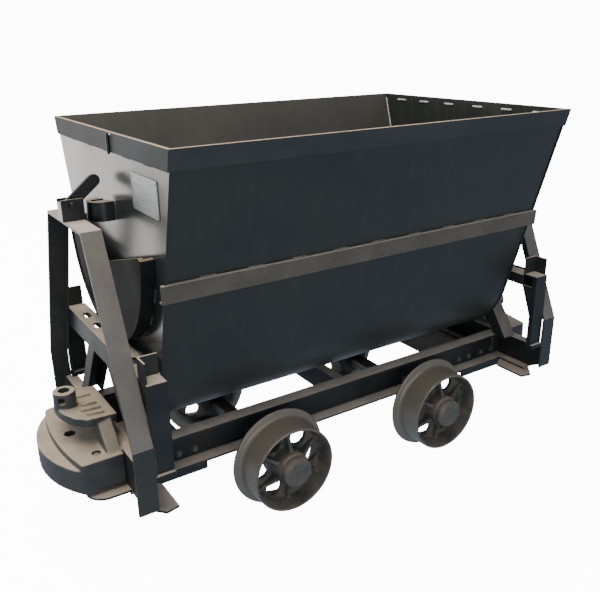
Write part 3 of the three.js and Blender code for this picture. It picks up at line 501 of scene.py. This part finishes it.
mass = bmesh.new()
prism(mass, bowed(NOSE_HALF, NOSE_SAG, 34 * MM, 10 * MM), "z", NOSE_LOW, NOSE_HIGH)
prism(mass, bowed(DECK_HALF, DECK_SAG, 22 * MM, 8 * MM), "z", NOSE_HIGH - SINK, DECK)
block(mass, (CHANNEL_FACE, -FOOT_HALF, FOOT_LOW),
      (CHANNEL_FACE + FOOT_DEPTH, FOOT_HALF, NOSE_LOW + SINK))
for side in (-1, 1):
    prism(mass, [
        (side * LEG_FOOT, DECK - SINK), (side * LEG_OUT, DECK - SINK),
        (side * LEG_TOP, JAW_HIGH - 0.5 * MM), (side * LEG_BACK, JAW_HIGH - 0.5 * MM),
        (side * LEG_BACK, JAW_LOW)], "x", CHANNEL_FACE, LEG_END)
lip = [(LIP_X + LIP_REACH * math.cos(a), LIP_HALF * math.sin(a))
       for a in (math.pi * (k / LIP_STEPS - 0.5) for k in range(1, LIP_STEPS))]
plate = [(STRAP_FACE, -JAW_HALF), (LIP_X, -LIP_HALF), *lip,
         (LIP_X, LIP_HALF), (STRAP_FACE, JAW_HALF)]
sheets = []
for z in (JAW_LOW, JAW_HIGH):
    sheet = []
    for x, y in plate:
        along, up = on_jaw(x, z)
        sheet.append(mass.verts.new((along, y, up)))
    sheets.append(sheet)
skinned(mass, sheets)
prism(mass, disc(BOSS_R, 48, BOSS_X), "z", JAW_HIGH, BOSS_TOP)
# Low stiffening ribs run back from the boss over the jaw.
for lip_y, back_y, start in JAW_RIBS:
    rib = []
    for x, y in ((start * MM, lip_y * MM), (RIB_END, back_y * MM)):
        along, up = on_jaw(x, JAW_HIGH)
        rib.append([mass.verts.new((along, y + dy, up + dz)) for dy, dz in RIB_SECTION])
    skinned(mass, rib)
body = loose("bumper_body", mass)
cast(body, CAST_VOXEL, 5)
# Holes: a hexagonal one for the coupling pin, and two for bolts through the deck.
holes = bmesh.new()
prism(holes, disc(PIN_R, PIN_SIDES, BOSS_X), "z", HOLE_LOW, PIN_TOP)
for side in (-1, 1):
    prism(holes, disc(BOLT_R, 32, BOLT_X, side * BOLT_Y), "z", HOLE_LOW, BOLT_TOP)
# A small square window looks into the boss from one side.
outward = Vector((math.cos(WINDOW_TURN), math.sin(WINDOW_TURN), 0))
across = Vector((-outward.y, outward.x, 0))
corners = [Vector((BOSS_X, 0, 0)) + outward * d + across * w for d, w in (
    (WINDOW_NEAR, -WINDOW_HALF), (WINDOW_FAR, -WINDOW_HALF),
    (WINDOW_FAR, WINDOW_HALF), (WINDOW_NEAR, WINDOW_HALF))]
tool = loose("bumper_holes", holes)
side_window = bmesh.new()
prism(side_window, [(p.x, p.y) for p in corners], "z", WINDOW_LOW, WINDOW_HIGH)
window_tool = loose("bumper_window", side_window)
carve(body, tool)
carve(body, window_tool)
casting = settled(body, tool, window_tool)
casting.name = "bumper_casting"
for row, end in ENDS:
    # Each end has its own mesh, because the front one's is turned round.
    shape = casting.copy()
    smoothed(shape, CAST_SHARP)
    shape.materials.clear()
    shape.materials.append(cast_skin)
    piece = placed("bumper_casting_" + row, shape)
    if end < 0:
        shape.transform(Matrix.Rotation(math.pi, 4, "Z"))
    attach(piece, "underframe")
    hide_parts("bumper_" + row)

# ---------------------------------------------------------------------------
# Axle boxes: plain iron castings bolted under the long channels, one to each
# end of an axle.
# ---------------------------------------------------------------------------
# Oily cast iron: darker than the bumpers, with a coarse skin that stays dull.
box_skin = weathered(
    "sand_cast_iron_oily", "#1d1f21", "#2c2b28", "#8d8478", 0.55,
    patch_mm=60, grain_mm=3.5, bump=0.7, dust_from=0.4)
for row, _ in ENDS:
    for side, _ in HANDS:
        finish_node("axle_box_" + row + "_" + side, box_skin, edge_mm=2.5)

# ---------------------------------------------------------------------------
# Wheels: cast steel, six ribs on a thin disc with round windows between them,
# and a flange inside the tread. They are cast in one and pressed on the axle.
# ---------------------------------------------------------------------------
WHEEL_VOXEL = 3.0 * MM
LATHE_STEPS = 96
AXLE_X, AXLE_Z, FLANGE_FACE = 336 * MM, 175 * MM, 292 * MM
RIB_START, RIB_TURN, RIB_HALF = 31, 60, 6.5 * MM
WINDOW_AT, WINDOW_R, WINDOW_SIDES = 95 * MM, 29 * MM, 40
DISC_IN, DISC_OUT = 10 * MM, 50 * MM
TREAD_FROM, TREAD_TO = 143 * MM, 148 * MM
# The turned outline, as (radius, out from the flange's face), and its corners' radii.
PROFILE = [
    (0, 69), (30.3, 69), (30.3, -16), (62, -16), (62, 20), (128, 20), (131, -16), (166, -16),
    (175, -12), (173.5, -4), (154, 1), (150, 8), (148, 99), (140, 99), (128, 38), (62, 38),
    (58, 89), (53, 89), (53, 110), (44, 120), (22, 123), (0, 123)]
CORNERS = [0, 0, 2, 3, 6, 8, 3, 4, 4, 4, 5, 4, 2.5, 2.5, 8, 9, 3, 2, 5, 7, 8, 0]
# A rib's outline, also as (radius, out).
RIB_SIDE = [(56, 36), (129, 36), (139.5, 63), (128, 52), (96, 58), (56, 78)]


def spun(mesh, start, degrees):
    """Turns what was added to a mesh since start about the axle."""
    mesh.verts.ensure_lookup_table()
    bmesh.ops.transform(mesh, matrix=Matrix.Rotation(-math.radians(degrees), 4, "Y"),
                        verts=mesh.verts[start:])


profile = eased([(r * MM, y * MM) for r, y in PROFILE], [r * MM for r in CORNERS],
                steps=4, closed=False)
lathe = bmesh.new()
rings = []
for k in range(LATHE_STEPS):
    angle = math.tau * k / LATHE_STEPS
    rings.append([lathe.verts.new((r * math.cos(angle), y, r * math.sin(angle)))
                  for r, y in profile])
for k in range(LATHE_STEPS):
    a, b = rings[k], rings[(k + 1) % LATHE_STEPS]
    for n in range(len(profile) - 1):
        lathe.faces.new((a[n], a[n + 1], b[n + 1], b[n]))
bmesh.ops.remove_doubles(lathe, verts=lathe.verts, dist=0.01 * MM)
ribs, windows = bmesh.new(), bmesh.new()
for n in range(6):
    start = len(ribs.verts)
    prism(ribs, [(r * MM, y * MM) for r, y in RIB_SIDE], "z", -RIB_HALF, RIB_HALF)
    spun(ribs, start, RIB_START + RIB_TURN * n)
    start = len(windows.verts)
    prism(windows, disc(WINDOW_R, WINDOW_SIDES, WINDOW_AT), "y", DISC_IN, DISC_OUT)
    spun(windows, start, RIB_START + RIB_TURN / 2 + RIB_TURN * n)
wheel_body = loose("wheel_body", lathe)
rib_tool, window_tool = loose("wheel_ribs", ribs), loose("wheel_windows", windows)
carve(wheel_body, window_tool)
carve(wheel_body, rib_tool, "UNION")
cast(wheel_body, WHEEL_VOXEL, 4)
wheel_shape = settled(wheel_body, rib_tool, window_tool)
wheel_shape.name = "wheel_casting"
smoothed(wheel_shape)

# Rail-worn cast steel: brownish grey all over, with a lighter band rubbed smooth on
# the tread, where the radius from the axle is largest.
wheel_iron = blank("cast_steel_rail_worn")
place = add(wheel_iron, "TexCoord", {})
where = place.outputs["Object"]
blotch = noise(wheel_iron, where, 55, 5.0, 0.65)
grain = noise(wheel_iron, where, 3.5, 4.0)
share = ranged(wheel_iron, blotch, 0.38, 0.64, 0.0, 1.0)
skin = mixed(wheel_iron, share, linear("#464744"), linear("#6a6053"))
flat = add(wheel_iron, "VectorMath", {0: where, 1: (1, 0, 1)}, operation="MULTIPLY")
radius = add(wheel_iron, "VectorMath", {0: flat.outputs[0]}, operation="LENGTH")
outer = ranged(wheel_iron, radius.outputs["Value"], TREAD_FROM, TREAD_TO, 0.0, 0.85)
rubbed = times(wheel_iron, outer, ranged(wheel_iron, blotch, 0.25, 0.6, 1.0, 0.75))
relief = add(wheel_iron, "Bump", {"Strength": 0.5, "Distance": GRAIN_DEPTH, "Height": grain})
surfaced(wheel_iron, {
    "Base Color": mixed(wheel_iron, rubbed, skin, linear("#857d70")),
    "Roughness": ranged(wheel_iron, rubbed, 0.0, 0.85, 0.5, 0.38),
    "Metallic": ranged(wheel_iron, rubbed, 0.0, 0.85, 0.0, 0.35),
    "Specular IOR Level": 0.4, "Normal": relief.outputs[0]})
wheel_shape.materials.clear()
wheel_shape.materials.append(wheel_iron)
for row, end in ENDS:
    for side, sign in HANDS:
        wheel = placed("wheel_casting_" + row + "_" + side, wheel_shape)
        wheel.location = (end * AXLE_X, sign * FLANGE_FACE, AXLE_Z)
        wheel.rotation_euler = (0, 0, math.pi if sign < 0 else 0)
        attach(wheel, "wheelset_" + row)
        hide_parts("wheel_" + row + "_" + side)

# ---------------------------------------------------------------------------
# Axles: turned steel shafts that run in the axle boxes, with a wheel pressed on
# each end.
# ---------------------------------------------------------------------------
# Oiled turned steel: dark metal with a dull shine, and almost no dust.
axle_steel = weathered(
    "turned_steel_oiled", "#3f3d3a", "#55504a", "#7d746a", 0.45,
    patch_mm=40, grain_mm=3, bump=0.2, dust_from=0.9, dust_to=1.2, dust_share=0.2,
    metallic=0.7, specular=0.5)
for row, _ in ENDS:
    finish_node("axle_" + row, axle_steel, edge_mm=1.0)

# ---------------------------------------------------------------------------
# Bolts: hexagon heads on washers through the webs of the long channels, near
# each end and over each axle box, and one flat rivet in each bumper's deck.
# ---------------------------------------------------------------------------
WEB_FACE, WEB_BOLT_Z, BOX_BOLT_Z, RIVET_Z = 183 * MM, 245 * MM, 240 * MM, 317 * MM
WEB_BOLTS_MM = (-786, -724, -652, -596, 596, 652, 724, 786)
BOX_BOLTS_MM = (-38, 38)
# Dull zinc: mid-grey metal that stands out from the dark webs without glinting.
bolt_steel = weathered(
    "dull_zinc_bolt", "#565a5c", "#6f6a62", "#a79b8c", 0.42,
    patch_mm=12, grain_mm=1.5, bump=0.2, dust_from=0.5, dust_to=1.0, dust_share=0.6,
    metallic=0.6, specular=0.5)


def hexagon(size):
    """Rings of a washer and hexagon head, by the thread's diameter."""
    head = 0.92 * size
    return [(24, 1.15 * size, -0.5 * MM), (24, 1.15 * size, 0.16 * size),
            (6, head, 0.16 * size), (6, head, 0.72 * size), (6, 0.8 * size, 0.82 * size)]


fixings = bmesh.new()
for _, sign in HANDS:
    for x in WEB_BOLTS_MM:
        turned_stud(fixings, (x * MM, sign * WEB_FACE, WEB_BOLT_Z), (0, sign, 0),
                    hexagon(11 * MM), roll=x * 0.7)
    for _, end in ENDS:
        for dx in BOX_BOLTS_MM:
            turned_stud(fixings, (end * AXLE_X + dx * MM, sign * WEB_FACE, BOX_BOLT_Z),
                        (0, sign, 0), hexagon(12 * MM), roll=dx)
for _, end in ENDS:
    turned_stud(fixings, (end * BOLT_X, end * BOLT_Y, RIVET_Z), (0, 0, 1), [
        (24, 11 * MM, -80 * MM), (24, 11 * MM, 4 * MM), (24, 9.5 * MM, 6 * MM)])
new_piece("frame_bolts", fixings, bolt_steel, "underframe")

# ---------------------------------------------------------------------------
# Welds: hand-laid beads, each a row of ripples, along the seams of the underframe
# and the bucket, and a short round bar that hangs on the front rim.
# ---------------------------------------------------------------------------
random.seed(7)
RIPPLE = 5 * MM
BEAD_STEP, BEAD_SIDES = 1.7 * MM, 8
WANDER = 0.06
# Any direction that no seam runs along, to set a bead's first side from.
LEAN = Vector((0.31, 0.52, 0.79))
# Painted bead: a shade lighter than the paint around it, a painted highlight so the ripples
# catch the light.
weld_paint_with_painted_highlight = weathered(
    "weld_bead_paint_with_painted_highlight", "#3a3b39", "#5a5852", "#a59a8b", 0.5,
    patch_mm=25, grain_mm=2, bump=0.4, dust_from=0.3, specular=0.4)
# Bare bead: pale, half-metallic grey that reads as a bright stitch on dark plate.
weld_bare = weathered(
    "weld_bead_bare", "#9aa2a8", "#c9ccca", "#b9b0a4", 0.4,
    patch_mm=18, grain_mm=2, bump=0.4, dust_from=0.6, dust_to=1.0, dust_share=0.4,
    metallic=0.4, specular=0.5)


def bead(mesh, points, size):
    """Adds one rippled weld bead along straight runs between points."""
    path, length = [], 0.0
    for a, b in zip(points, points[1:]):
        a, b = Vector(a), Vector(b)
        steps = max(2, round((b - a).length / BEAD_STEP))
        path += [a.lerp(b, k / steps) for k in range(steps)]
    path.append(Vector(points[-1]))
    rings = []
    last = len(path) - 1
    turns = [math.tau * n / BEAD_SIDES for n in range(BEAD_SIDES)]
    for k, here in enumerate(path):
        ahead = (path[min(k + 1, last)] - path[max(k - 1, 0)]).normalized()
        side = ahead.cross(LEAN).normalized()
        up = ahead.cross(side)
        if k:
            length += (here - path[k - 1]).length
        fade = min(1.0, 0.35 + min(k, last - k) * 0.25)
        ripple = 0.88 + 0.16 * abs(math.sin(math.pi * length / RIPPLE))
        radius = size * fade * (ripple + random.uniform(-0.05, 0.05))
        drift = (side * random.uniform(-WANDER, WANDER) * size
                 + up * random.uniform(-WANDER, WANDER) * size)
        rings.append([mesh.verts.new(
            here + drift + (side * math.cos(a) + up * math.sin(a)) * radius) for a in turns])
    skinned(mesh, rings)


FOOT_FACE = 409 * MM
POST_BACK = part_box("post_rear_right")[1].y
SEAM = (FOOT_FACE - POST_BACK) / 2  # half the gap between a post's back and the foot plate
FRAME_BEAD, POST_BEAD = 4 * MM, 3.5 * MM
POST_Y, POST_TOP = 400 * MM, 349.3 * MM
FOOT_X, POST_X, WEB_X, DECK_X = 835.5 * MM, 812 * MM, 795 * MM, 836 * MM
FOOT_SPAN, POST_SPAN = (243 * MM, 331 * MM), (347 * MM, 446 * MM)
WEB_SPAN, PAD_SPAN = (225 * MM, 322 * MM), (765 * MM, 815 * MM)
DECK_SPAN, DECK_SEAM = (-203 * MM, 203 * MM), 333 * MM
frame_welds = bmesh.new()
for _, end in ENDS:
    for _, sign in HANDS:
        # Foot plate to the end channel, upright.
        bead(frame_welds, [(end * FOOT_X, sign * FOOT_FACE, z) for z in FOOT_SPAN], FRAME_BEAD)
        # Post to the foot plate. It fills the gap between them.
        y = sign * (POST_BACK + SEAM)
        bead(frame_welds, [(end * POST_X, y, z) for z in POST_SPAN], SEAM + 2 * MM)
        # Post's foot on the end channel.
        bead(frame_welds, [(end * x, sign * POST_Y, POST_TOP) for x in PAD_SPAN], POST_BEAD)
        # Long channel's web to the end channel.
        bead(frame_welds, [(end * WEB_X, sign * WEB_FACE, z) for z in WEB_SPAN], FRAME_BEAD)
    # Bumper's deck to the end channel, straight across.
    bead(frame_welds, [(end * DECK_X, y, DECK_SEAM) for y in DECK_SPAN], FRAME_BEAD)
new_piece("frame_welds", frame_welds, weld_paint_with_painted_highlight, "underframe")

SLOPE = math.tan(math.radians(16.2))
RIM_TOP, WALL_END, WALL_IN = 1262 * MM, 729 * MM, 722.7 * MM
# Inner face of a side plate at the rim's top. Its 6 mm measures 6.25 mm level.
SIDE_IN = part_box("bucket_side_right")[1].y - 6.25 * MM
CORNER_MM = ((1246, 900), (896, 560))
STITCHES_MM, RIM_STITCHES_MM = (-360, -215, -70, 85, 230, 370), (-330, -180, -20, 140, 300)
CORNER_BEAD, STITCH_BEAD, WALL_BEAD, LEDGE_BEAD = 3.6 * MM, 4.2 * MM, 2.6 * MM, 2.2 * MM
ROCKER_X, ROCKER_R, ROCKER_Z = 730 * MM, 326 * MM, 950.5 * MM
LEDGE_TOP, LEDGE_OUT, LEDGE_PITCH, LEDGE_STITCH = 893.5 * MM, 6.6 * MM, 150, 26 * MM
STITCH_Z, RIM_FOOT = 1241 * MM, 1203 * MM
GUIDE_SIDE, GUIDE_BEAD = 45.5 * MM, 2.4 * MM


def inner_half(z):
    """Half width inside the sloping sides at a height."""
    return SIDE_IN - (RIM_TOP - z) * SLOPE


bucket_welds, pale_welds = bmesh.new(), bmesh.new()
for _, end in ENDS:
    wall_in, wall_out = end * WALL_IN, end * WALL_END
    for _, sign in HANDS:
        # Inside corner between side and end plate, bare above and painted below.
        for welds, (high, low) in zip((pale_welds, bucket_welds), CORNER_MM):
            bead(welds, [(wall_in, sign * inner_half(z * MM), z * MM) for z in (high, low)],
                 CORNER_BEAD)
    # Stitches just under the rim inside each end.
    for y in STITCHES_MM:
        bead(pale_welds, [(wall_in, (y + dy) * MM, STITCH_Z) for dy in (-28, 24)],
             STITCH_BEAD)
    # Guide's sides and the rim's lower edge on the end plate.
    for sign in (-1, 1):
        bead(bucket_welds, [(wall_out, sign * GUIDE_SIDE, z * MM) for z in (1006, 1046)],
             GUIDE_BEAD)
    for y in RIM_STITCHES_MM:
        bead(bucket_welds, [(wall_out, (y + dy) * MM, RIM_FOOT) for dy in (-30, 30)],
             WALL_BEAD)
    # Rocker to the end plate, in stitches along its arc.
    for n in range(9):
        middle = math.radians(200 + 17.5 * n)
        arc = [(end * ROCKER_X, ROCKER_R * math.cos(a), ROCKER_Z + ROCKER_R * math.sin(a))
               for a in (middle + math.radians(k) for k in (-4, -2, 0, 2, 4))]
        bead(bucket_welds, arc, WALL_BEAD)
# Ledge's upper edge to the side plate.
for _, sign in HANDS:
    y = sign * (inner_half(LEDGE_TOP) + LEDGE_OUT)
    for n in range(-4, 5):
        x = n * LEDGE_PITCH * MM
        bead(bucket_welds, [(x - LEDGE_STITCH, y, LEDGE_TOP), (x + LEDGE_STITCH, y, LEDGE_TOP)],
             LEDGE_BEAD)
# The round bar hangs on the front rim, with a pale tack beside it on the rim's face.
bead(pale_welds, [(-735.5 * MM, y * MM, 1256 * MM) for y in (-88, -72)], 3.4 * MM)
new_piece("bucket_welds", bucket_welds, weld_paint_with_painted_highlight, "bucket")
new_piece("bare_welds", pale_welds, weld_bare, "bucket")
hanger = bmesh.new()
turned_stud(hanger, (-739 * MM, -66 * MM, 1200 * MM), (0, 0, 1), [
    (20, radius * MM, height * MM) for radius, height in (
        (3, 0), (4.4, 1.4), (4.6, 4), (4.6, 52), (4.4, 57), (3, 59))])
new_piece("rim_bar", hanger, enamel, "bucket")

# ---------------------------------------------------------------------------
# Floor: a plain pale studio sweep, seen by the camera alone so that the piece
# is lit by the lamps and the sky dome.
# ---------------------------------------------------------------------------
SWEEP_SIDES, SWEEP_GLOW = 64, 12.0
SWEEP_OUTLINE = [(0, 0), (9, 0), (11, 0.35), (12.2, 1.4), (12.6, 3), (12.6, 12)]
outline = eased(SWEEP_OUTLINE, [0, 0.8, 0.8, 0.8, 0.8, 0], steps=6, closed=False)
sweep = bmesh.new()
rings = [[sweep.verts.new((x, y, z)) for x, y in disc(r, SWEEP_SIDES)] for r, z in outline[1:]]
centre = sweep.verts.new((0, 0, 0))
for k in range(SWEEP_SIDES):
    n = (k + 1) % SWEEP_SIDES
    sweep.faces.new((centre, rings[0][k], rings[0][n]))
    for a, b in zip(rings, rings[1:]):
        sweep.faces.new((a[k], b[k], b[n], a[n]))
floor = loose("studio_sweep", sweep)
floor.location.z = -0.5 * MM
smoothed(floor.data)
# Matt white paper that glows, so it stays an even white all round.
paper = blank("matt_white_paper")
surfaced(paper, {
    "Base Color": linear("#f4f3f1"), "Roughness": 0.9, "Specular IOR Level": 0.1,
    "Emission Color": linear("#ffffff"), "Emission Strength": SWEEP_GLOW})
floor.data.materials.append(paper)
floor.visible_diffuse = False
floor.visible_glossy = False
floor.visible_shadow = False
floor.visible_transmission = False

# ---------------------------------------------------------------------------
# Light: one wide soft lamp overhead, a large one low at the front right that the
# glossy end plate mirrors, a weak one to fill the left side, and a dim cool sky.
# ---------------------------------------------------------------------------
AIM = Vector((0, 0, 0.65))
# Each lamp: its name, place, width in metres, power in watts and tint.
LAMPS = (
    ("overhead", (-1.0, 0.2, 4.6), 5.0, 380, "#fff1e0"),
    ("horizon", (-2.5, 4.6, 0.7), 4.2, 150, "#fff9f0"),
    ("side_fill", (-1.5, -5.2, 1.6), 3.2, 70, "#fbf8f2"))
world = bpy.data.worlds.new("studio_sky")
bpy.context.scene.world = world
world.use_nodes = True
sky = world.node_tree.nodes["Background"]
sky.inputs["Color"].default_value = linear("#c0d0e6")
sky.inputs["Strength"].default_value = 0.72
for name, spot, size, power, tint in LAMPS:
    lamp = bpy.data.lights.new(name, "AREA")
    lamp.shape = "DISK"
    lamp.size = size
    lamp.energy = power
    lamp.color = linear(tint)[:3]
    holder = placed(name, lamp)
    holder.location = spot
    holder.rotation_mode = "QUATERNION"
    holder.rotation_quaternion = (AIM - Vector(spot)).to_track_quat("-Z", "Y")
    holder.visible_camera = False

# Camera: stands off the front left corner, a little above the rim.
EYE = (-1.3888, -2.0588, 1.5044)
YAW, PITCH, ROLL = 0.997, 0.351, -0.015
camera = placed("camera", bpy.data.cameras.new("camera"))
camera.location = EYE
look = Vector((math.cos(PITCH) * math.cos(YAW), math.cos(PITCH) * math.sin(YAW),
               -math.sin(PITCH)))
camera.rotation_mode = "QUATERNION"
camera.rotation_quaternion = look.to_track_quat("-Z", "Y") @ Quaternion((0, 0, 1), ROLL)
camera.data.lens = 42.48
camera.data.sensor_width = 36
bpy.context.scene.camera = camera
